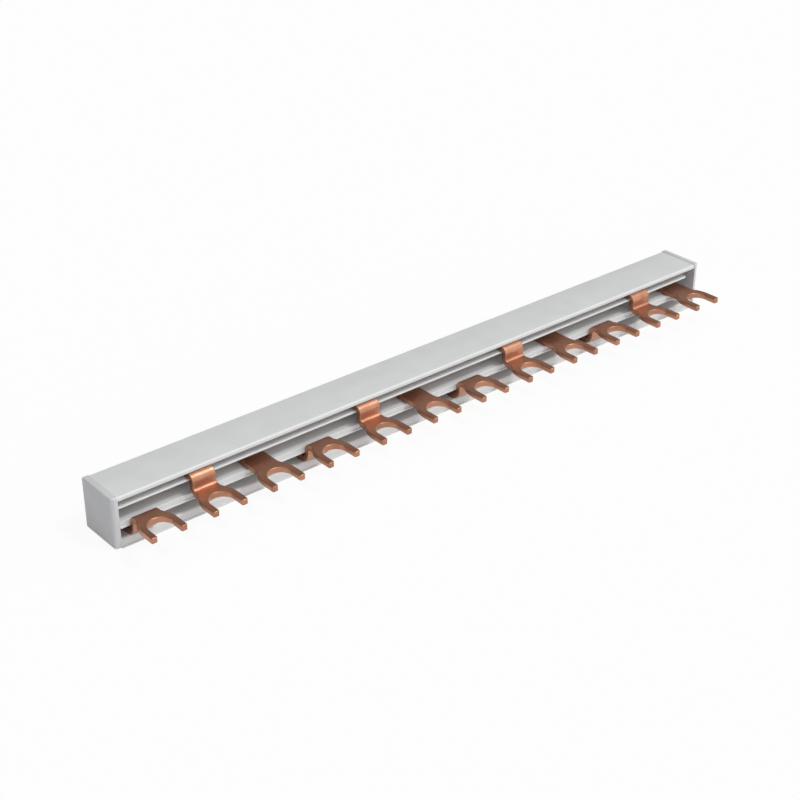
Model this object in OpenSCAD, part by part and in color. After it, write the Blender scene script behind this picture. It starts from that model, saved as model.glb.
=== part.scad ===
// Three-phase fork busbar for a row of circuit breakers: three copper combs, stacked one over
// another between insulating strips, in an extruded cover that an end cap closes at each end.
// X runs along the busbar, the forks point towards -Y and +Z is up.
// The origin is the centre of the cover's underside.
// A fork is drawn from its tips: its local Y is 0 at the tips and grows towards the cover.

/* [Forks] */
// Number of forks, one for each breaker module
fork_count = 12; // [6:3:18]
// Distance from one fork to the next
fork_pitch = 17.8; // [16:0.1:22]
// Width of the slot that takes the terminal screw
slot_w = 6.8; // [5.2:0.1:8]
// Depth of the slot from the tips to its round end
slot_depth = 7.3; // [5:0.1:8.5]
// Width of one tine
tine_w = 1.7; // [1.2:0.1:2.4]
// Length of the straight sides, from the tips
side_l = 4; // [2:0.1:4.4]
// Length over which the sides curve in to the neck
shoulder_l = 5.8; // [4:0.1:6.2]
// Width of the neck between the fork and its bar
neck_w = 7; // [4:0.1:8]
// Radius where a shoulder runs into the neck
neck_fillet_r = 1.5; // [0.5:0.1:2.5]
// Radius of the corners at the tips
tip_r = 0.4; // [0.1:0.05:0.55]
// Distance from the tips to the cover's front face
fork_reach = 13.3; // [12.8:0.1:18]

/* [Combs] */
// Thickness of the copper
copper_t = 1.65; // [1.2:0.05:2]
// Width of the bar that joins the forks of one phase
bar_w = 7.2; // [5:0.1:8]
// Height between the middle bar and the upper one
upper_gap = 2.5; // [2.4:0.1:4]
// Height between the middle bar and the lower one
lower_gap = 3.3; // [3:0.1:4]
// Inside radius of the bends next to the forks
bend_r = 0.8; // [0.4:0.05:1]
// Inside radius of the bends into the upper bar
upper_root_r = 0.6; // [0.4:0.05:0.8]
// Inside radius of the bends into the lower bar
lower_root_r = 1.8; // [1.6:0.05:2]
// Radius where the edges of a neck run into the bar
root_fillet_r = 1.5; // [0.5:0.1:2]
// Gap between the cover's front face and the upright part of an upper neck
upper_riser_gap = 0.25; // [0.1:0.05:0.6]
// Gap between the cover's front face and the upright part of a lower neck
lower_riser_gap = 0.5; // [0.45:0.05:0.7]
// How far the bars end short of the insulating strips, at either end
bar_setback = 1.3; // [0.5:0.1:1.6]
// Gap behind the bars
bar_back_gap = 0.1; // [0.05:0.05:0.5]
// Gap between the upper comb and the cover's top wall
comb_top_gap = 0.05; // [0.02:0.01:0.2]

/* [Cover] */
// Depth of the cover, from front to back
cover_d = 13.7; // [12:0.1:18]
// Height from the underside to the top of the forks
fork_top_z = 9.1; // [8.8:0.1:14]
// Thickness of the top wall
top_wall = 1.2; // [0.9:0.05:2]
// Thickness of the back wall
back_wall = 1.2; // [0.8:0.05:2]
// Thickness of the lower front wall
front_wall = 1.2; // [0.8:0.05:2]
// Thickness of the bottom wall
bottom_wall = 0.8; // [0.6:0.05:0.9]
// Thickness of the floor that carries the lower comb
floor_t = 0.8; // [0.6:0.05:0.9]
// Radius of the top edges
edge_r = 0.55; // [0.2:0.05:0.8]
// Radius of the floor's front edge
floor_edge_r = 0.7; // [0.2:0.05:0.75]
// How far the lip along the lower front edge stands out
lip_out = 0.5; // [0.2:0.05:1]
// Height of that lip
lip_h = 0.45; // [0.3:0.05:0.8]
// Distance from the left end to the middle of the first fork
left_margin = 7.8; // [7:0.1:20]
// Distance from the middle of the last fork to the right end
right_margin = 10.4; // [10.2:0.1:25]

/* [Insulating strips] */
// Thickness of the upper strip's shelf
upper_shelf_t = 0.55; // [0.4:0.05:1]
// Thickness of the lower strip's shelf
lower_shelf_t = 0.8; // [0.5:0.05:1.2]
// Thickness of the lower strip's front wall
strip_wall = 0.9; // [0.6:0.05:1.5]
// Radius of its shelf's front edge
shelf_edge_r = 0.2; // [0.05:0.05:0.5]
// Height from the lower comb to the underside of that wall
strip_wall_gap = 1.45; // [1:0.05:1.6]
// How far the bead along the foot of that wall stands out
bead_out = 0.4; // [0.1:0.05:0.4]
// Height of that bead
bead_h = 0.5; // [0.3:0.05:0.8]
// Width of the ribs that hold a bar down
rib_w = 1; // [0.6:0.1:1.5]
// How far the strips end short of the right cap
strip_short = 3.4; // [0:0.1:3.6]
// Radius of the strips' front corners
strip_corner_r = 0.9; // [0.2:0.1:1.5]

/* [End caps] */
// Thickness of a cap's plate
cap_t = 1.8; // [1.2:0.1:3]
// How far the plate stands proud of the cover at the top, front and back
cap_proud = 0.15; // [0:0.05:0.5]
// Radius of the plate's upright front edge
cap_front_r = 1.4; // [0.4:0.1:1.7]
// Radius of its other outer edges
cap_edge_r = 0.4; // [0.1:0.05:0.6]
// Length of the flat plug that holds the cap in the cover
plug_l = 5; // [2:0.5:12]
// Gap around the plug
plug_gap = 0.08; // [0.03:0.01:0.15]
// Radius of the corners of the plug and of the chamber it enters
chamber_r = 0.3; // [0.05:0.05:0.35]

/* [Hidden] */
$fn = 64;
phases = 3;
// Overlap of touching shapes that are joined into one, and overshoot of cutters
eps = 0.01;
over = 1;

// Lengths and places along X
total_l = left_margin + (fork_count - 1) * fork_pitch + right_margin;
cover_l = total_l - 2 * cap_t;
first_fork_x = left_margin - total_l / 2;
strip_x0 = -cover_l / 2;
strip_x1 = cover_l / 2 - strip_short;
bar_x0 = strip_x0 + bar_setback;
bar_x1 = strip_x1 - bar_setback;

// Places along Y
front_y = -cover_d / 2;
back_y = cover_d / 2 - back_wall;
bar_y1 = back_y - bar_back_gap;
bar_y0 = bar_y1 - bar_w;
tip_y = front_y - fork_reach;

// Heights of the undersides of the bars; a rise is the distance from the middle bar
upper_rise = copper_t + upper_gap;
lower_rise = copper_t + lower_gap;
middle_z = fork_top_z - copper_t;
top_z = middle_z + upper_rise;
bottom_z = middle_z - lower_rise;
ceiling_z = top_z + copper_t + comb_top_gap;
cover_h = ceiling_z + top_wall;

// The fork's outline: the shoulders are arcs of one radius, tangent to the sides and the fillets
fork_w = slot_w + 2 * tine_w;
shoulder_step = (fork_w - neck_w) / 2;
shoulder_r = (shoulder_l * shoulder_l + shoulder_step * shoulder_step) / (2 * shoulder_step) - neck_fillet_r;
shoulder_x = shoulder_r - fork_w / 2;
neck_y = side_l + shoulder_l;
neck_fillet_x = neck_w / 2 + neck_fillet_r;

// Length from the tips to the front edge of the bars
bar_edge = bar_y0 - tip_y;

// The chamber under the floor, which takes the plugs of the caps
chamber_y0 = front_y + front_wall;
chamber_z1 = bottom_z - floor_t;

cover_color = [0.82, 0.83, 0.83];
strip_color = [0.76, 0.77, 0.78];
cap_color = [0.7, 0.71, 0.73];
copper_color = [0.78, 0.5, 0.37];

// ---------- helpers ----------

// Extrudes an outline drawn in (Y, Z) along X, from x0 to x1
module along_x(x0, x1) {
    translate([x0, 0, 0])
        rotate([90, 0, 90])
            linear_extrude(x1 - x0)
                children();
}

// What a rounding of radius r takes off a corner at the origin of the first quadrant
module corner_cut(r) {
    difference() {
        translate([-eps, -eps])
            square(r + eps);
        translate([r, r])
            circle(r);
    }
}

// Rectangle from p0 to p1 whose corners have their own radii:
// low-left, low-right, high-right and high-left
module rounded_box(p0, p1, radii) {
    corners = [p0, [p1.x, p0.y], p1, [p0.x, p1.y]];
    difference() {
        translate(p0)
            square(p1 - p0);
        for (i = [0:3])
            if (radii[i] > 0)
                translate(corners[i])
                    rotate(90 * i)
                        corner_cut(radii[i]);
    }
}

// Bead with a round nose that stands out by `out` towards -Y from a face at y, from z up
module bead(y, z, out, height) {
    nose_r = min(height / 2, out);
    rounded_box([y - out, z], [y + eps, z + height], [nose_r, 0, 0, nose_r]);
}

// ---------- copper combs ----------

// Middle of fork i, counted from 0 at the left end
function fork_x(i) = first_fork_x + i * fork_pitch;

// Fills the inner corner between a shoulder and the neck down to the fillet, on the +X side
module neck_fillet() {
    reach = shoulder_r / (shoulder_r + neck_fillet_r);
    touch = [-shoulder_x + (neck_fillet_x + shoulder_x) * reach, side_l + shoulder_l * reach];
    difference() {
        polygon([[0, touch.y], touch, [neck_fillet_x, neck_y], [0, neck_y]]);
        translate([neck_fillet_x, neck_y])
            circle(neck_fillet_r);
    }
}

// Flat outline of a fork and its neck, which runs to length l from the tips
module fork_outline(l) {
    slot_end_y = slot_depth - slot_w / 2;
    difference() {
        union() {
            rounded_box([-fork_w / 2, 0], [fork_w / 2, side_l], [tip_r, tip_r, 0, 0]);
            intersection() {
                translate([-shoulder_x, side_l])
                    circle(shoulder_r, $fn = 180);
                translate([shoulder_x, side_l])
                    circle(shoulder_r, $fn = 180);
                translate([-fork_w / 2, side_l - eps])
                    square([fork_w, shoulder_l + eps]);
            }
            translate([-neck_w / 2, side_l])
                square([neck_w, l - side_l]);
            neck_fillet();
            mirror([1, 0])
                neck_fillet();
        }
        translate([0, slot_end_y])
            circle(d = slot_w);
        translate([-slot_w / 2, -over])
            square([slot_w, slot_end_y + over]);
        for (side = [0, 1])
            mirror([side, 0])
                translate([slot_w / 2, 0])
                    corner_cut(tip_r);
    }
}

// A quarter of a bend about the origin, of inside radius r, in the quadrant that starts at angle a
module quarter_bend(r, a) {
    rotate(a)
        intersection() {
            difference() {
                circle(r + copper_t);
                circle(r);
            }
            square(r + copper_t + over);
        }
}

// Side view in (Y, Z) of a neck that bends up from the fork's plate, with its front face at y,
// and runs back to the bar, which lies `rise` higher; root_r is the inside radius of its upper bend
module riser_outline(y, rise, root_r) {
    foot_z = copper_t + bend_r;
    root_y = y + copper_t + root_r;
    root_z = rise - root_r;
    translate([y - bend_r, foot_z])
        quarter_bend(bend_r, -90);
    translate([y, foot_z])
        square([copper_t, root_z - foot_z]);
    translate([root_y, root_z])
        quarter_bend(root_r, 90);
    translate([root_y, rise])
        square([bar_edge - root_y + eps, copper_t]);
}

// A bent fork at the origin of its tips, whose neck rises to its bar
module bent_fork(riser_gap, rise, root_r) {
    riser_y = fork_reach - riser_gap - copper_t;
    linear_extrude(copper_t)
        fork_outline(riser_y - bend_r);
    along_x(-neck_w / 2, neck_w / 2)
        riser_outline(riser_y, rise, root_r);
}

// A straight fork at the origin of its tips
module straight_fork() {
    linear_extrude(copper_t)
        fork_outline(bar_edge + eps);
}

// Outline of the bar, with fillets where the necks of every third fork from `first` leave it
module bar_outline(first) {
    translate([bar_x0, bar_y0])
        square([bar_x1 - bar_x0, bar_w]);
    for (i = [first:phases:fork_count - 1], side = [0, 1])
        translate([fork_x(i), bar_y0])
            mirror([side, 0])
                translate([neck_w / 2, 0])
                    mirror([0, 1])
                        corner_cut(root_fillet_r);
}

// The comb of one phase: a bar at height bar_z, and a fork at every third place from `first`
module comb(bar_z, first) {
    color(copper_color)
        union() {
            translate([0, 0, bar_z])
                linear_extrude(copper_t)
                    bar_outline(first);
            for (i = [first:phases:fork_count - 1])
                translate([fork_x(i), tip_y, middle_z])
                    children();
        }
}

module comb_top() {
    comb(top_z, 1)
        bent_fork(upper_riser_gap, upper_rise, upper_root_r);
}

module comb_middle() {
    comb(middle_z, 2)
        straight_fork();
}

// The lower comb's necks bend the other way
module comb_bottom() {
    comb(bottom_z, 0)
        translate([0, 0, copper_t])
            mirror([0, 0, 1])
                bent_fork(lower_riser_gap, lower_rise, lower_root_r);
}

// ---------- insulating strips ----------

// The two ribs under a shelf, which reach down to the top of the bar at bar_z
module ribs(bar_z, shelf_z) {
    rib_z = bar_z + copper_t;
    for (y = [bar_y0 + rib_w / 2, bar_y1 - 1.5 * rib_w])
        translate([y, rib_z])
            square([rib_w, shelf_z - rib_z + eps]);
}

// Cuts an extruded strip to length and rounds its front corners
module cut_strip() {
    intersection() {
        along_x(strip_x0 - over, strip_x1 + over)
            children();
        linear_extrude(cover_h)
            rounded_box([strip_x0, front_y - bead_out - eps], [strip_x1, back_y + over],
                        [0, strip_corner_r, 0, 0]);
    }
}

// Shelf under the upper comb, with a round nose
module strip_upper() {
    shelf_z = top_z - upper_shelf_t;
    nose_r = upper_shelf_t / 2;
    color(strip_color)
        cut_strip() {
            translate([front_y + nose_r, shelf_z])
                square([back_y - front_y - nose_r, upper_shelf_t]);
            translate([front_y + nose_r, shelf_z + nose_r])
                circle(nose_r);
            ribs(middle_z, shelf_z);
        }
}

// Shelf under the middle comb, with a front wall that ends in a bead over the lower comb
module strip_lower() {
    shelf_z = middle_z - lower_shelf_t;
    wall_z = bottom_z + copper_t + strip_wall_gap;
    color(strip_color)
        cut_strip() {
            rounded_box([front_y, shelf_z], [back_y, middle_z], [0, 0, 0, shelf_edge_r]);
            translate([front_y, wall_z])
                square([strip_wall, shelf_z - wall_z + eps]);
            bead(front_y, wall_z, bead_out, bead_h);
            ribs(bottom_z, shelf_z);
        }
}

// ---------- cover and end caps ----------

// Extruded cover: open at the front from the floor to the top wall, hollow under the floor
module cover() {
    color(cover_color)
        along_x(-cover_l / 2, cover_l / 2) {
            difference() {
                rounded_box([front_y, 0], [cover_d / 2, cover_h], [0, edge_r, edge_r, edge_r]);
                translate([front_y - over, bottom_z])
                    square([back_y - front_y + over, ceiling_z - bottom_z]);
                translate([front_y, bottom_z])
                    mirror([0, 1])
                        corner_cut(floor_edge_r);
                rounded_box([chamber_y0, bottom_wall], [back_y, chamber_z1],
                            [chamber_r, chamber_r, chamber_r, chamber_r]);
            }
            bead(front_y, 0, lip_out, lip_h);
        }
}

// End cap whose plate closes the cover at its +X end; the plug fits the chamber
module end_cap() {
    x0 = cover_l / 2;
    x1 = x0 + cap_t;
    y0 = front_y - cap_proud;
    y1 = cover_d / 2 + cap_proud;
    z1 = cover_h + cap_proud;
    color(cap_color)
        union() {
            intersection() {
                along_x(x0, x1)
                    rounded_box([y0, 0], [y1, z1], [edge_r, edge_r, edge_r, edge_r]);
                linear_extrude(z1)
                    rounded_box([x0, y0], [x1, y1], [0, cap_front_r, cap_edge_r, 0]);
                translate([0, y1, 0])
                    rotate([90, 0, 0])
                        linear_extrude(y1 - y0)
                            rounded_box([x0, 0], [x1, z1], [0, cap_edge_r, cap_edge_r, 0]);
            }
            along_x(x0 - plug_l, x0 + cap_t / 2)
                rounded_box([chamber_y0 + plug_gap, bottom_wall + plug_gap],
                            [back_y - plug_gap, chamber_z1 - plug_gap],
                            [chamber_r, chamber_r, chamber_r, chamber_r]);
        }
}

module cap_right() {
    end_cap();
}

module cap_left() {
    mirror([1, 0, 0])
        end_cap();
}

cover();
strip_upper();
strip_lower();
comb_top();
comb_middle();
comb_bottom();
cap_left();
cap_right();
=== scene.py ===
"""Three-phase fork busbar: copper combs, insulating strips, extruded cover and end caps.

X runs along the busbar, the forks point to -Y and Z is up. Settings are in metres, and outlines are
worked out in millimetres.
"""

import math

import bmesh
import bpy
import numpy as np
from bpy.props import FloatProperty, FloatVectorProperty, IntProperty, PointerProperty
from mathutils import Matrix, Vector


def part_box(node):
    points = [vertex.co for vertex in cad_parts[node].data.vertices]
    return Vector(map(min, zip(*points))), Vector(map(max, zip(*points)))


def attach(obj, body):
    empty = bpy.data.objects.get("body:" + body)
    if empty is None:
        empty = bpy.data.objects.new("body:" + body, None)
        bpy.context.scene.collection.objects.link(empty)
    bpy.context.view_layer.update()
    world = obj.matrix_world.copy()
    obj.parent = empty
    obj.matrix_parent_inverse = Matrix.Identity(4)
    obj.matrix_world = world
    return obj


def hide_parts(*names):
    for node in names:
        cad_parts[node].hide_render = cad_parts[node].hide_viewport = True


bl_info = {
    "name": "Fork busbar",
    "version": (1, 0, 0),
    "blender": (4, 5, 0),
    "location": "3D View > Sidebar > Busbar",
    "description": "Dresses a three-phase fork busbar and sets its studio",
    "category": "Object",
}

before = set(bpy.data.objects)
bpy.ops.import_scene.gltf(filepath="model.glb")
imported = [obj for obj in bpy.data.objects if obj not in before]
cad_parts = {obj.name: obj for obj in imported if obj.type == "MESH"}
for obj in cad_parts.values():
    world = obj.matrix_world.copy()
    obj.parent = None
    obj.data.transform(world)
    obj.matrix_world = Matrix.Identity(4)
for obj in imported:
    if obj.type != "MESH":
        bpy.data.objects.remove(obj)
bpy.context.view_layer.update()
MM = 0.001
PHASES = 3

# An edge that turns by more than this is shaded sharp
SHARP = math.radians(35)
# Points closer than this are one, in metres
SEAM = 0.002 * MM
# Millimetres: the flat ring beside a rounded edge, a neck's run into its bar, and how far a bar's faces
# lie inside the faces of its necks
SUPPORT = 0.05
OVERLAP = 0.4
BAR_INSET = 0.01
# Radius of the upper strip's nose over its thickness: a little under half, so that its arcs stay apart
NOSE = 0.48

# Marks to the metre along X, Y and Z, and their depth in metres
DIE_LINES = (6.0, 1500.0, 1500.0)
MOULD_GRAIN = (900.0, 900.0, 900.0)
ROLLING_LINES = (60.0, 2600.0, 2600.0)
RELIEF = 0.02 * MM

# The ways to the bright part of the sky and to the key light
TO_FRONT = (0.35, -0.94, 0.0)
TO_KEY = (0.335, -0.383, 0.861)
CAMERA_MM = (-262.72, -299.83, 223.65)
FLOOR_REACH = 6.0
WHITE = (1.0, 1.0, 1.0)


# ---------- settings ----------

def length(name, description, default_mm, top_mm=50.0):
    """A length property whose default is given in millimetres."""
    return FloatProperty(name=name, description=description, default=default_mm * MM,
                         min=0.0, max=top_mm * MM, precision=5, subtype="DISTANCE", unit="LENGTH")


def colour(name, description, default):
    """A colour property, in linear values."""
    return FloatVectorProperty(name=name, description=description, default=default,
                               size=3, min=0.0, max=1.0, subtype="COLOR")


def factor(name, description, default, top=1.0):
    """A plain number with no unit."""
    return FloatProperty(name=name, description=description, default=default, min=0.0, max=top)


def turn_angle(name, description, degrees):
    """An angle property whose default is given in degrees."""
    return FloatProperty(name=name, description=description, default=math.radians(degrees),
                         subtype="ANGLE", unit="ROTATION")


class BusbarForkSizes(bpy.types.PropertyGroup):
    """Sizes of the copper forks and the bends of their necks."""
    count: IntProperty(name="Forks", description="Number of forks in the row", default=12, min=3)
    pitch: length("Pitch", "Distance from one fork to the next", 17.8)
    slot_w: length("Slot width", "Width of the slot for the terminal screw", 6.8)
    slot_depth: length("Slot depth", "Depth of the slot from the tips", 7.3)
    tine_w: length("Tine width", "Width of one tine", 1.7)
    side_l: length("Straight side", "Length of the straight sides from the tips", 4.0)
    shoulder_l: length("Shoulder", "Length over which the sides curve in to the neck", 5.8)
    neck_w: length("Neck width", "Width of the neck", 7.0)
    neck_fillet_r: length("Neck fillet", "Radius where a shoulder meets the neck", 1.5)
    tip_r: length("Tip radius", "Radius of the corners at the tips", 0.4)
    copper_t: length("Copper", "Thickness of the copper", 1.65)
    bend_r: length("Fork bend", "Inside radius of the bends next to the forks", 0.8)
    upper_root_r: length("Upper root bend", "Inside radius of the bends into the upper bar", 0.6)
    lower_root_r: length("Lower root bend", "Inside radius of the bends into the lower bar", 1.8)
    upper_gap: length("Upper riser gap", "Gap between the cover's front and an upper neck", 0.25)
    lower_gap: length("Lower riser gap", "Gap between the cover's front and a lower neck", 0.5)
    bar_w: length("Bar width", "Width of the bars", 7.2)
    bar_short: length("Bar end", "How far a bar's ends lie inside the strips' ends", 1.3)
    edge_r: length("Sheared edge", "Radius of the copper's rolled-over edges", 0.2)


class BusbarCoverSizes(bpy.types.PropertyGroup):
    """Sizes of the extruded cover, the strips and the end caps."""
    top_wall: length("Top wall", "Thickness of the top wall", 1.2)
    back_wall: length("Back wall", "Thickness of the back wall", 1.2)
    floor_z: length("Floor", "Height of the floor under the lower comb", 2.5)
    edge_r: length("Top edges", "Radius of the cover's outer edges", 0.55)
    floor_edge_r: length("Floor edge", "Radius of the floor's front edge", 0.7)
    mouth_edge_r: length("Mouth edge", "Radius of the top wall's lower front edge", 0.12)
    lip_out: length("Lip", "How far the lower lip stands out", 0.5)
    lip_h: length("Lip height", "Height of the lower lip", 0.45)
    lip_edge_r: length("Lip edges", "Radius of the lower lip's edges", 0.22)
    lip_crease_r: length("Lip crease", "Radius of the crease over the lower lip", 0.1)
    upper_shelf: length("Upper shelf", "Thickness of the upper strip's shelf", 0.55)
    lower_shelf: length("Lower shelf", "Thickness of the lower strip's shelf", 0.8)
    shelf_edge_r: length("Shelf edges", "Radius of the lower strip's outer front edges", 0.2)
    strip_wall: length("Strip wall", "Thickness of the lower strip's front wall", 0.9)
    wall_gap: length("Wall gap", "Height of the lower strip's front wall over the lower comb", 1.45)
    wall_edge_r: length("Wall edge", "Radius of the front wall's lower back edge", 0.1)
    bead_out: length("Bead", "How far the bead stands out", 0.4)
    bead_h: length("Bead height", "Height of the bead", 0.5)
    bead_crease_r: length("Bead crease", "Radius of the crease over the bead", 0.08)
    rib_w: length("Ribs", "Width of the strips' ribs", 1.0)
    strip_corner_r: length("Strip corner", "Radius of the strips' front corner", 0.9)
    cap_edge_r: length("Cap edges", "Radius of the caps' outer edges", 0.4)
    cap_front_r: length("Cap front edge", "Radius of the caps' upright front edge", 1.4)


class BusbarFinish(bpy.types.PropertyGroup):
    """Colours and gloss of the plastics and the copper."""
    cover: colour("Cover", "Light grey of the extruded cover", (0.633, 0.644, 0.643))
    strip: colour("Strips", "Light grey of the insulating strips", (0.622, 0.631, 0.636))
    # The caps' bluish tone is their own, but their grey is also darker as painted shade: it stands in for
    # the shade on their end face, so their tops come out darker than the cover's
    cap: colour("Caps", "Light grey of the end caps", (0.558, 0.563, 0.577))
    plastic_rough: factor("Plastic roughness", "Roughness of the extruded plastics", 0.46)
    cap_rough: factor("Cap roughness", "Roughness of the moulded caps", 0.52)
    copper: colour("Copper", "Clean copper", (0.5, 0.245, 0.155))
    tarnish: colour("Tarnish", "Copper under a thin brown film", (0.36, 0.165, 0.105))
    copper_rough: factor("Copper roughness", "Roughness of the rolled faces", 0.36)


class BusbarStudio(bpy.types.PropertyGroup):
    """Light, floor and camera."""
    key: factor("Key light", "Strength of the key light; 1 lights a facing surface fully", 0.33, 5.0)
    key_softness: turn_angle("Key softness", "Apparent size of the key light", 11)
    fill: factor("Fill", "Brightness of the light from all round", 0.03, 5.0)
    front: factor("Front", "Brightness of the light from in front of the forks", 1.5, 5.0)
    overhead: factor("Overhead", "Brightness of the light from straight above", 0.42, 5.0)
    floor: colour("Floor", "Colour of the floor", (0.82, 0.82, 0.82))
    floor_glow: factor("Floor glow", "Share of plain white in the floor where it is looked at", 0.92)
    lens: FloatProperty(name="Lens", description="Focal length on a 36 mm sensor", default=72.135,
                        min=1.0, subtype="DISTANCE_CAMERA", unit="CAMERA")
    heading: turn_angle("Heading", "Camera's heading from +Y towards +X", 40.095)
    pitch: turn_angle("Pitch", "How far the camera looks down", 29.214)


SETTINGS = {"busbar_forks": BusbarForkSizes, "busbar_cover": BusbarCoverSizes,
            "busbar_finish": BusbarFinish, "busbar_studio": BusbarStudio}


# ---------- shader maths ----------

class Shade:
    """A node tree's builder: node() makes any node, and its results are Value objects."""

    def __init__(self, tree):
        self.tree = tree
        tree.nodes.clear()

    def node(self, kind, settings=None, **inputs):
        """Makes a node, sets its settings first, then the values or links of its sockets. A socket goes by
        its name, with _ for a space, or by its number after an i."""
        made = self.tree.nodes.new(kind)
        for key, value in (settings or {}).items():
            setattr(made, key, value)
        for key, value in inputs.items():
            numbered = key[0] == "i" and key[1:].isdigit()
            socket = made.inputs[int(key[1:]) if numbered else key.replace("_", " ")]
            if isinstance(value, Value):
                self.tree.links.new(value.socket, socket)
            elif isinstance(value, tuple) and len(value) < len(socket.default_value):
                socket.default_value = (*value, 1.0)
            else:
                socket.default_value = value
        return made

    def value(self, kind, settings=None, out=0, **inputs):
        """One output of a new node."""
        return Value(self, self.node(kind, settings, **inputs).outputs[out])

    def noise(self, where, scale, detail, rough=0.5):
        """Fractal noise, about 0.5 on average, of `scale` features to the metre."""
        return self.value("ShaderNodeTexNoise", Vector=where, Scale=scale, Detail=detail, Roughness=rough)

    def marks(self, where, per_metre, detail):
        """Noise with its own number of marks to the metre along each axis, drawn out along the smallest."""
        placed = self.value("ShaderNodeMapping", {"vector_type": "POINT"}, Vector=where, Scale=per_metre)
        return self.noise(placed, 1.0, detail)

    def mix(self, amount, first, second):
        """Blend of two colours."""
        return self.value("ShaderNodeMix", {"data_type": "RGBA"}, out=2, i0=amount, i6=first, i7=second)


class Value:
    """Wraps a socket, so that an expression on it adds its Math nodes."""

    def __init__(self, shade, socket):
        self.shade, self.socket = shade, socket

    def _math(self, operation, first, second):
        return self.shade.value("ShaderNodeMath", {"operation": operation}, i0=first, i1=second)

    def __add__(self, other): return self._math("ADD", self, other)
    def __radd__(self, other): return self._math("ADD", other, self)
    def __sub__(self, other): return self._math("SUBTRACT", self, other)
    def __rsub__(self, other): return self._math("SUBTRACT", other, self)
    def __mul__(self, other): return self._math("MULTIPLY", self, other)
    def __rmul__(self, other): return self._math("MULTIPLY", other, self)
    def __pow__(self, other): return self._math("POWER", self, other)

    def most(self, other):
        """The larger of the two."""
        return self._math("MAXIMUM", self, other)

    def ramp(self, low, high):
        """0 below low, 1 above high, smooth between."""
        return self.shade.value("ShaderNodeMapRange", {"interpolation_type": "SMOOTHSTEP"},
                                Value=self, From_Min=low, From_Max=high)


def new_material(name):
    """An empty node material and its builder."""
    made = bpy.data.materials.new(name)
    made.use_nodes = True
    return made, Shade(made.node_tree)


def finish_surface(shade, height, **sockets):
    """Principled surface with a bump whose height goes from 0 to 1, over the depth of the relief."""
    normal = shade.value("ShaderNodeBump", Height=height, Strength=1.0, Distance=RELIEF)
    surface = shade.value("ShaderNodeBsdfPrincipled", Normal=normal, **sockets)
    shade.node("ShaderNodeOutputMaterial", Surface=surface)


def grey_plastic(name, base, roughness, pattern):
    """Pale rigid plastic: faint cloudiness, a fine grain, and the marks that its die or mould leaves."""
    made, shade = new_material(name)
    where = shade.value("ShaderNodeTexCoord", out=3)
    cloud = shade.noise(where, 140.0, 2.0)
    grain = shade.noise(where, 5200.0, 2.0)
    marks = shade.marks(where, pattern, 2.0)
    darker = tuple(0.955 * c for c in base)
    body = shade.mix((cloud * 0.6 + marks * 0.4).ramp(0.35, 0.65), darker, base)
    finish_surface(shade, grain * 0.35 + marks * 0.65, Base_Color=body, IOR=1.52,
                   Roughness=roughness - 0.08 + cloud * 0.1 + grain * 0.06)
    return made


def rolled_copper(name, clean, tarnish, roughness):
    """Bare copper strip: rolling lines along X, a thin uneven film of tarnish, and small dull spots."""
    made, shade = new_material(name)
    where = shade.value("ShaderNodeTexCoord", out=3)
    film = shade.noise(where, 210.0, 4.0, 0.6)
    spots = shade.noise(where, 1300.0, 3.0, 0.55)
    lines = shade.marks(where, ROLLING_LINES, 3.0)
    dull = film.ramp(0.38, 0.68) * 0.7 + spots.ramp(0.55, 0.72) * 0.3
    finish_surface(shade, lines * 0.7 + spots * 0.3,
                   Base_Color=shade.mix(dull, clean, tarnish), Metallic=1.0 - dull * 0.12,
                   Roughness=roughness - 0.07 + dull * 0.12 + lines * 0.08)
    return made


# ---------- surfaces: a part is its points, its quads, and a list of its other faces ----------

def arc(centre, radius, start, end, steps):
    """Points on a circle from one angle to the other, in degrees, without the last."""
    angle = np.radians(np.linspace(start, end, steps, endpoint=False))
    return np.asarray(centre) + radius * np.stack([np.cos(angle), np.sin(angle)], 1)


def unit(vectors):
    """The vectors at a length of 1."""
    return vectors / np.linalg.norm(vectors, axis=1)[:, None]


def rounded(corners, steps=6):
    """Closed outline through (a, b, radius) corners: each corner is an arc tangent to both its sides, with
    its centre on their bisector, at radius / sin(half the angle between them)."""
    points = np.array([c[:2] for c in corners], float)
    radii = np.array([c[2] for c in corners], float)
    to_last = unit(np.roll(points, 1, 0) - points)
    to_next = unit(np.roll(points, -1, 0) - points)
    half = np.arccos(np.clip((to_last * to_next).sum(1), -1, 1)) / 2
    centre = points + unit(to_last + to_next) * (radii / np.sin(half))[:, None]
    first = points + to_last * (radii / np.tan(half))[:, None] - centre
    last = points + to_next * (radii / np.tan(half))[:, None] - centre
    share = np.linspace(0, 1, steps)[None, :, None]
    spread = first[:, None] * (1 - share) + last[:, None] * share
    size = np.linalg.norm(spread, axis=2, keepdims=True)
    ring = centre[:, None] + spread / np.maximum(size, 1e-12) * radii[:, None, None]
    kept = np.ones((len(corners), steps), bool)
    kept[radii == 0, 1:] = False
    return ring[kept]


def band_faces(rows, columns, skip=None):
    """Quads between neighbouring rows of a grid of rings; skip leaves one column of quads out."""
    row, column = np.meshgrid(np.arange(rows - 1), np.arange(columns), indexing="ij")
    if skip is not None:
        keep = column != skip
        row, column = row[keep], column[keep]
    after = (column + 1) % columns
    return np.stack([row * columns + column, row * columns + after,
                     (row + 1) * columns + after, (row + 1) * columns + column], -1).reshape(-1, 4)


def ring_part(points, closed_rows, skip=None):
    """Part from a grid of rings, with a face across each of the closed rows."""
    rows, columns = points.shape[:2]
    across = [np.arange(columns) + row % rows * columns for row in closed_rows]
    return points.reshape(-1, 3), band_faces(rows, columns, skip), across


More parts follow.
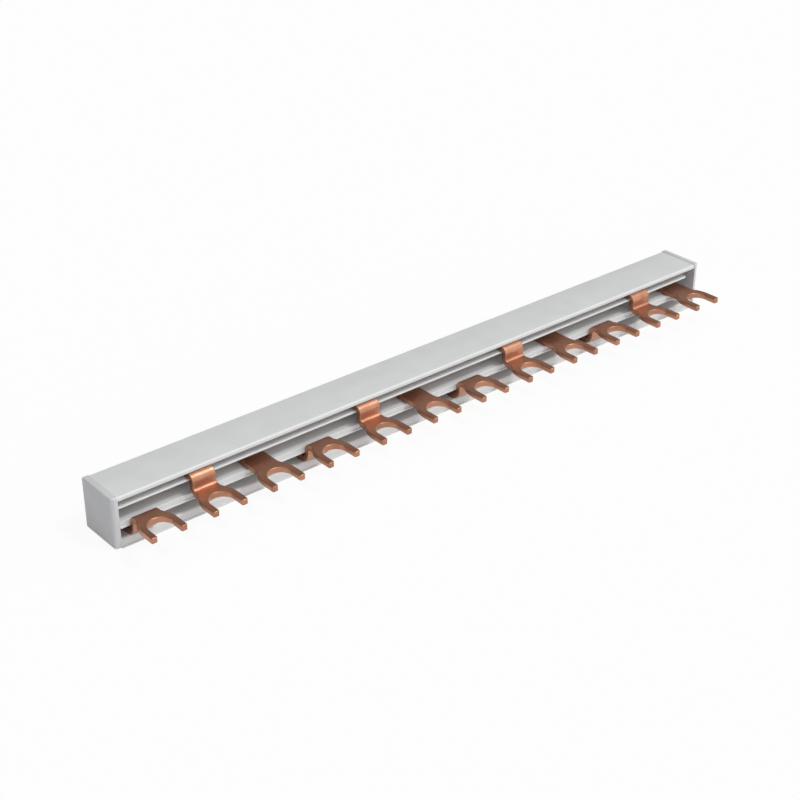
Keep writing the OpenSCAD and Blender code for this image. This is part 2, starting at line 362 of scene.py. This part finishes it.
def joined(parts):
    """Puts parts together, with the numbers in their faces moved on."""
    starts = np.cumsum([0] + [len(points) for points, _, _ in parts])
    return (np.concatenate([points for points, _, _ in parts]),
            np.concatenate([quads + start for (_, quads, _), start in zip(parts, starts)]),
            [face + start for (_, _, faces), start in zip(parts, starts) for face in faces])


def add_piece(name, part, material, node):
    """Makes a smooth-shaded object of a part in millimetres, merges its seams and turns each closed shell's
    faces outwards. The piece replaces a CAD node and rides on the root."""
    points, quads, faces = part
    mesh = bpy.data.meshes.new(name)
    mesh.from_pydata((points * MM).tolist(), [], quads.tolist() + [face.tolist() for face in faces])
    mesh.validate()
    shell = bmesh.new()
    shell.from_mesh(mesh)
    bmesh.ops.remove_doubles(shell, verts=shell.verts, dist=SEAM)
    bmesh.ops.recalc_face_normals(shell, faces=shell.faces)
    shell.to_mesh(mesh)
    shell.free()
    mesh.shade_smooth()
    mesh.set_sharp_from_angle(angle=SHARP)
    mesh.materials.append(material)
    piece = bpy.data.objects.new(name, mesh)
    bpy.context.scene.collection.objects.link(piece)
    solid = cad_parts[node].data.materials
    solid.clear()
    solid.append(material)
    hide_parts(node)
    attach(piece, "root")


def edge_rings(thickness, radius, steps=5):
    """Heights and insets of the rings of a plate whose edges are quarter rounds, with a ring inside each
    face that keeps the face's shading flat."""
    angle = np.linspace(0, np.pi / 2, steps)
    low_z, low_in = radius * (1 - np.cos(angle)), radius * (1 - np.sin(angle))
    height = np.concatenate([[0], low_z, thickness - low_z[::-1], [thickness]])
    inset = np.concatenate([[radius + SUPPORT], low_in, low_in[::-1], [radius + SUPPORT]])
    return height, inset


def plate(outline, thickness, radius, open_side=None):
    """Flat plate with rounded edges: ring k is the outline moved inwards by inset(k), at height(k).
    The side that starts at point open_side is left open, and its two ends move only along X."""
    forward = unit(np.roll(outline, -1, 0) - outline)
    back = unit(outline - np.roll(outline, 1, 0))
    tangent = unit(forward + back)
    outward = np.stack([tangent[:, 1], -tangent[:, 0]], 1)
    outward /= np.maximum((tangent * forward).sum(1), 0.5)[:, None]
    if open_side is not None:
        outward[open_side] = (1, 0)
        outward[(open_side + 1) % len(outline)] = (-1, 0)
    height, inset = edge_rings(thickness, radius)
    flat = outline[None] - outward[None] * inset[:, None, None]
    height = np.broadcast_to(height[:, None, None], (*flat.shape[:2], 1))
    return ring_part(np.concatenate([flat, height], 2), (0, -1), open_side)


def fork_outline(s, plate_l):
    """Closed outline of a fork, and the number of its first point on the neck's end. It goes from the
    bottom of the slot round one tine to the neck's end, and back down the other side. The slot ends in a
    half circle, and the shoulders are arcs tangent to the sides and to the neck's fillets."""
    slot_r, half = s["slot_w"] / 2, s["slot_w"] / 2 + s["tine_w"]
    end_y, tip = s["slot_depth"] - slot_r, s["tip_r"]
    drop = half - s["neck_w"] / 2
    shoulder_r = (s["shoulder_l"] ** 2 + drop ** 2) / (2 * drop) - s["neck_fillet_r"]
    fillet_x = s["neck_w"] / 2 + s["neck_fillet_r"]
    fillet_y = s["side_l"] + s["shoulder_l"]
    lean = math.degrees(math.atan2(s["shoulder_l"], fillet_x - half + shoulder_r))
    right = np.concatenate([
        arc((0, end_y), slot_r, 90, 0, 20),
        [(slot_r, end_y), (slot_r, (end_y + tip) / 2)],
        arc((slot_r + tip, tip), tip, 180, 270, 6),
        arc((half - tip, tip), tip, 270, 360, 6),
        [(half, tip), (half, (tip + s["side_l"]) / 2)],
        arc((half - shoulder_r, s["side_l"]), shoulder_r, 0, lean, 18),
        arc((fillet_x, fillet_y), s["neck_fillet_r"], lean + 180, 180, 8),
        [(s["neck_w"] / 2, fillet_y), (s["neck_w"] / 2, plate_l)],
    ])
    left = right[:0:-1] * (-1, 1)
    return np.concatenate([right, left]), len(right) - 1


def bent_neck(s, riser_y, rise, root_r, bar_edge):
    """Neck carried along its bends: thickness is measured from the plate's underside, an arc turns it up
    into the riser, a second arc of the root radius turns it back, and it runs straight into the bar."""
    t, r = s["copper_t"], s["bend_r"]
    height, inset = edge_rings(t, s["edge_r"])
    side = s["neck_w"] / 2 - inset
    across = np.concatenate([side, -side[::-1]])
    depth = np.concatenate([height, height[::-1]])
    turn = np.radians(np.linspace(0, 90, 13))[:, None]
    first_r, second_r = r + t - depth[None], root_r + depth[None]
    bend_y, root_y, root_z = riser_y - r, riser_y + t + root_r, rise - root_r
    lower = np.stack([bend_y + first_r * np.sin(turn), t + r - first_r * np.cos(turn)], -1)
    upper = np.stack([root_y - second_r * np.cos(turn), root_z + second_r * np.sin(turn)], -1)
    end = np.stack([np.full_like(depth, bar_edge + OVERLAP), rise + depth], -1)[None]
    path = np.concatenate([lower, upper, end])
    across = np.broadcast_to(across[None, :, None], (*path.shape[:2], 1))
    return ring_part(np.concatenate([across, path], 2), (-1,))


def swept(profile, stations, fronts=None):
    """Profile in (Y, Z) carried along X through the stations; fronts is the lowest Y allowed at each."""
    y = np.broadcast_to(profile[None, :, 0], (len(stations), len(profile)))
    if fronts is not None:
        y = np.maximum(y, fronts[:, None])
    x = np.broadcast_to(np.asarray(stations)[:, None], y.shape)
    z = np.broadcast_to(profile[None, :, 1], y.shape)
    return ring_part(np.stack([x, y, z], -1), (0, -1))


def millimetres(group):
    """The lengths of a property group, in millimetres, by name."""
    return {key: getattr(group, key) / MM for key in group.__annotations__ if key != "count"}


def box_mm(node):
    """Lowest and highest corner of a CAD node, in millimetres."""
    low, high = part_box(node)
    return np.array(low) / MM, np.array(high) / MM


# ---------- operators ----------

class BUSBAR_OT_cover(bpy.types.Operator):
    """Makes the extruded cover, with its open front, rounded edges and lower lip"""
    bl_idname = "busbar.cover"
    bl_label = "Cover"

    def execute(self, context):
        s, finish = millimetres(context.scene.busbar_cover), context.scene.busbar_finish
        plastic = grey_plastic("cover_plastic", tuple(finish.cover), finish.plastic_rough, DIE_LINES)
        low, high = box_mm("cover")
        front, back, top = low[1] + s["lip_out"], high[1], high[2]
        inner, ceiling = back - s["back_wall"], top - s["top_wall"]
        profile = rounded([
            (low[1], 0, s["lip_edge_r"]), (back, 0, s["edge_r"]), (back, top, s["edge_r"]),
            (front, top, s["edge_r"]), (front, ceiling, s["mouth_edge_r"]), (inner, ceiling, 0),
            (inner, s["floor_z"], 0), (front, s["floor_z"], s["floor_edge_r"]),
            (front, s["lip_h"], s["lip_crease_r"]), (low[1], s["lip_h"], s["lip_edge_r"])])
        add_piece("cover_shell", swept(profile, (low[0], high[0])), plastic, "cover")
        return {"FINISHED"}


class BUSBAR_OT_strips(bpy.types.Operator):
    """Makes the two insulating strips, with their noses, bead, ribs and rounded front corner"""
    bl_idname = "busbar.strips"
    bl_label = "Insulating strips"

    def execute(self, context):
        s, finish = millimetres(context.scene.busbar_cover), context.scene.busbar_finish
        plastic = grey_plastic("strip_plastic", tuple(finish.strip), finish.plastic_rough, DIE_LINES)
        bar_back = box_mm("comb_middle")[1][1]
        bar_front = bar_back - context.scene.busbar_forks.bar_w / MM
        ribs = (bar_front + s["rib_w"] / 2, bar_back - 1.5 * s["rib_w"])
        for node in ("strip_upper", "strip_lower"):
            low, high = box_mm(node)
            front, back, top = low[1], high[1], high[2]
            shelf = top - (s["upper_shelf"] if node == "strip_upper" else s["lower_shelf"])
            underside = [(y + step, z, 0) for y in ribs for step, z in (
                (0, shelf), (0, low[2]), (s["rib_w"], low[2]), (s["rib_w"], shelf))]
            if node == "strip_upper":
                nose = s["upper_shelf"] * NOSE
                corners = [(front, shelf, nose), *underside, (back, shelf, 0), (back, top, 0),
                           (front, top, nose)]
            else:
                face, wall, edge_r = front + s["bead_out"], low[2] + s["wall_gap"], s["shelf_edge_r"]
                inside, bead_top = face + s["strip_wall"], wall + s["bead_h"]
                corners = [(front, wall, edge_r), (inside, wall, s["wall_edge_r"]), (inside, shelf, 0),
                           *underside, (back, shelf, 0), (back, top, 0), (face, top, edge_r),
                           (face, bead_top, s["bead_crease_r"]), (front, bead_top, edge_r)]
            turn = np.radians(np.linspace(0, 90, 9))
            corner_r = s["strip_corner_r"]
            stations = np.concatenate([[low[0]], high[0] - corner_r * (1 - np.sin(turn))])
            fronts = front + corner_r * (1 - np.cos(np.concatenate([[0], turn])))
            add_piece(node + "_body", swept(rounded(corners), stations, fronts), plastic, node)
        return {"FINISHED"}


class BUSBAR_OT_combs(bpy.types.Operator):
    """Makes the three copper combs, with rolled-over sheared edges and smooth bends"""
    bl_idname = "busbar.combs"
    bl_label = "Copper combs"

    def execute(self, context):
        sizes, finish = context.scene.busbar_forks, context.scene.busbar_finish
        s = millimetres(sizes)
        copper = rolled_copper("copper", tuple(finish.copper), tuple(finish.tarnish), finish.copper_rough)
        low, high = box_mm("comb_middle")
        strip_low, strip_high = box_mm("strip_upper")
        tip_y, plate_z, bar_back = low[1], low[2], high[1]
        bar_front = bar_back - s["bar_w"]
        bar_edge = bar_front - tip_y
        first_x = box_mm("comb_bottom")[0][0] + s["slot_w"] / 2 + s["tine_w"]
        x0, x1 = strip_low[0] + s["bar_short"], strip_high[0] - s["bar_short"]
        bar_outline = np.array([(x0, bar_front), (x1, bar_front), (x1, bar_back), (x0, bar_back)])
        bar_points, *bar_faces = plate(bar_outline, s["copper_t"] - 2 * BAR_INSET, s["edge_r"])
        combs = (("comb_bottom", box_mm("comb_bottom")[0][2], s["lower_gap"], s["lower_root_r"]),
                 ("comb_top", box_mm("comb_top")[1][2] - s["copper_t"], s["upper_gap"], s["upper_root_r"]),
                 ("comb_middle", plate_z, None, None))
        for first, (node, bar_z, gap, root_r) in enumerate(combs):
            if gap is None:
                outline, _ = fork_outline(s, bar_edge + OVERLAP)
                fork = [plate(outline, s["copper_t"], s["edge_r"])]
            else:
                riser_y = strip_low[1] - tip_y - gap - s["copper_t"]
                outline, side = fork_outline(s, riser_y - s["bend_r"])
                fork = [plate(outline, s["copper_t"], s["edge_r"], side),
                        bent_neck(s, riser_y, abs(bar_z - plate_z), root_r, bar_edge)]
            points, *faces = joined(fork)
            if bar_z < plate_z:
                points = points * (1, 1, -1) + (0, 0, s["copper_t"])
            parts = [(points + (first_x + i * s["pitch"], tip_y, plate_z), *faces)
                     for i in range(first, sizes.count, PHASES)]
            parts.append((bar_points + (0, 0, bar_z + BAR_INSET), *bar_faces))
            add_piece(node + "_copper", joined(parts), copper, node)
        return {"FINISHED"}


class BUSBAR_OT_caps(bpy.types.Operator):
    """Makes the end caps, whose outer edges are rounded and whose upright front edge is rounder"""
    bl_idname = "busbar.caps"
    bl_label = "End caps"

    def execute(self, context):
        s, finish = millimetres(context.scene.busbar_cover), context.scene.busbar_finish
        # The cap colour carries painted shade for the caps' end faces, on top of their own bluish grey
        plastic = grey_plastic("cap_plastic", tuple(finish.cap), finish.cap_rough, MOULD_GRAIN)
        cover_low, cover_high = box_mm("cover")
        for node, sign, inner in (("cap_left", -1, cover_low[0]), ("cap_right", 1, cover_high[0])):
            low, high = box_mm(node)
            outer = low[0] if sign < 0 else high[0]
            outline = rounded([(low[1], 0, s["edge_r"]), (high[1], 0, s["edge_r"]),
                               (high[1], high[2], s["edge_r"]), (low[1], high[2], s["edge_r"])], 7)
            around = unit(np.roll(outline, -1, 0) - np.roll(outline, 1, 0))
            out = np.stack([around[:, 1], -around[:, 0]], 1)
            rounder = np.maximum(-out[:, 0], 0) ** 2
            radius = s["cap_edge_r"] + (s["cap_front_r"] - s["cap_edge_r"]) * rounder
            turn = np.linspace(0, np.pi / 2, 9)[:, None]
            flat_ring = np.zeros((1, len(radius)))
            inset = np.concatenate([flat_ring, radius * (1 - np.cos(turn)), radius[None] + SUPPORT])
            depth = np.concatenate([flat_ring + abs(outer - inner), radius * (1 - np.sin(turn)), flat_ring])
            sides = outline[None] - out[None] * inset[..., None]
            points = np.concatenate([(outer - sign * depth)[..., None], sides], 2)
            add_piece(node + "_plate", ring_part(points, (0, -1)), plastic, node)
        return {"FINISHED"}


class BUSBAR_OT_studio(bpy.types.Operator):
    """Makes the floor, the soft key light, the light of the surroundings and the camera"""
    bl_idname = "busbar.studio"
    bl_label = "Studio"

    def execute(self, context):
        scene, st = context.scene, context.scene.busbar_studio
        mesh = bpy.data.meshes.new("floor")
        corners = np.array([(-1, -1, 0), (1, -1, 0), (1, 1, 0), (-1, 1, 0)], float) * FLOOR_REACH
        mesh.from_pydata(corners.tolist(), [], [(0, 1, 2, 3)])
        floor = bpy.data.objects.new("floor", mesh)
        scene.collection.objects.link(floor)
        made, shade = new_material("floor")
        camera_ray, glossy_ray, clear_ray = (shade.value("ShaderNodeLightPath", out=k) for k in (0, 3, 6))
        seen = camera_ray.most(glossy_ray).most(clear_ray)
        diffuse = shade.value("ShaderNodeBsdfDiffuse", Color=tuple(st.floor))
        glow = shade.value("ShaderNodeEmission", Color=WHITE, Strength=1.0)
        both = shade.value("ShaderNodeMixShader", i0=seen * st.floor_glow, i1=diffuse, i2=glow)
        shade.node("ShaderNodeOutputMaterial", Surface=both)
        mesh.materials.append(made)

        world = bpy.data.worlds.new("studio")
        world.use_nodes = True
        scene.world = world
        sky = Shade(world.node_tree)
        direction = sky.value("ShaderNodeTexCoord", out=0)
        facing = sky.value("ShaderNodeVectorMath", {"operation": "DOT_PRODUCT"}, out=1,
                           i0=direction, i1=TO_FRONT)
        ahead = 0.5 + facing * 0.5
        up = sky.value("ShaderNodeSeparateXYZ", out=2, Vector=direction)
        level = st.fill + ahead ** 2.0 * st.front + up.ramp(0.3, 1.0) * st.overhead
        light = sky.value("ShaderNodeBackground", Color=level, Strength=1.0)
        white = sky.value("ShaderNodeBackground", Color=WHITE, Strength=1.0)
        camera_ray = sky.value("ShaderNodeLightPath")
        both = sky.value("ShaderNodeMixShader", i0=camera_ray, i1=light, i2=white)
        sky.node("ShaderNodeOutputWorld", Surface=both)

        key = bpy.data.lights.new("key", "SUN")
        key.energy, key.angle = st.key * math.pi, st.key_softness
        lamp = bpy.data.objects.new("key", key)
        lamp.rotation_mode = "QUATERNION"
        lamp.rotation_quaternion = Vector(TO_KEY).to_track_quat("Z", "Y")
        scene.collection.objects.link(lamp)

        lens = bpy.data.cameras.new("camera")
        lens.lens, lens.sensor_width, lens.clip_start, lens.clip_end = st.lens, 36.0, 0.01, 50.0
        camera = bpy.data.objects.new("camera", lens)
        camera.location = Vector(CAMERA_MM) * MM
        level_part = math.cos(st.pitch)
        look = Vector((math.sin(st.heading) * level_part, math.cos(st.heading) * level_part,
                       -math.sin(st.pitch)))
        camera.rotation_mode = "QUATERNION"
        camera.rotation_quaternion = look.to_track_quat("-Z", "Y")
        scene.collection.objects.link(camera)
        scene.camera = camera
        scene.view_settings.view_transform = "Standard"
        return {"FINISHED"}


OPERATORS = (BUSBAR_OT_cover, BUSBAR_OT_strips, BUSBAR_OT_combs, BUSBAR_OT_caps, BUSBAR_OT_studio)


class BUSBAR_PT_panel(bpy.types.Panel):
    """Lists the busbar's settings and the steps that build it"""
    bl_idname = "BUSBAR_PT_panel"
    bl_label = "Fork busbar"
    bl_space_type = "VIEW_3D"
    bl_region_type = "UI"
    bl_category = "Busbar"

    def draw(self, context):
        for operator in OPERATORS:
            self.layout.operator(operator.bl_idname)
        for name, group in SETTINGS.items():
            column = self.layout.column(align=True)
            for key in group.__annotations__:
                column.prop(getattr(context.scene, name), key)


CLASSES = (*SETTINGS.values(), *OPERATORS, BUSBAR_PT_panel)


def register():
    """Registers the settings, operators and panel."""
    for cls in CLASSES:
        bpy.utils.register_class(cls)
    for name, group in SETTINGS.items():
        setattr(bpy.types.Scene, name, PointerProperty(type=group))


def unregister():
    """Takes them out again."""
    for name in SETTINGS:
        delattr(bpy.types.Scene, name)
    for cls in reversed(CLASSES):
        bpy.utils.unregister_class(cls)


def main():
    register()
    for operator in OPERATORS:
        getattr(bpy.ops.busbar, operator.bl_idname.split(".")[1])()
    bpy.context.view_layer.update()


if __name__ == "__main__":
    main()
